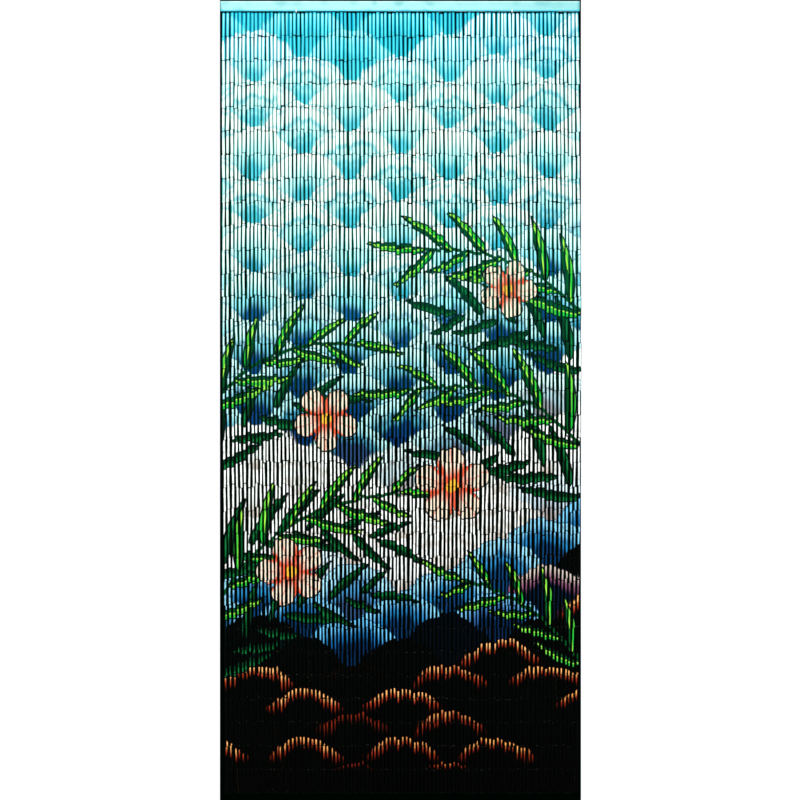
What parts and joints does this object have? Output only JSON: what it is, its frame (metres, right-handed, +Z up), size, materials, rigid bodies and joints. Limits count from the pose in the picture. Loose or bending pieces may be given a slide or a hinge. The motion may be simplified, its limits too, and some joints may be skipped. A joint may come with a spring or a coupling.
{
  "type": "bamboo beaded door curtain with hanging rail",
  "caption": "Doorway curtain of painted bamboo tube strands hanging side by side from a flat painted wooden rail.",
  "frame": {"origin": "middle of the rail's flat back face, where it lies against the lintel or wall over a doorway", "axes": "+Z up, +X along the rail to the right as seen from the front, -Y towards the viewer, +Y out of the back"},
  "size_m": [0.9175, 0.012, 2.0169],
  "materials": {
    "rail_paint": "satin painted",
    "bamboo_paint": "painted bamboo, satin",
    "link_wire": "dull wire"
  },
  "bodies": {
    "root": {"rail": "rail_paint", "strands": "bamboo_paint"}
  },
  "joints": []
}
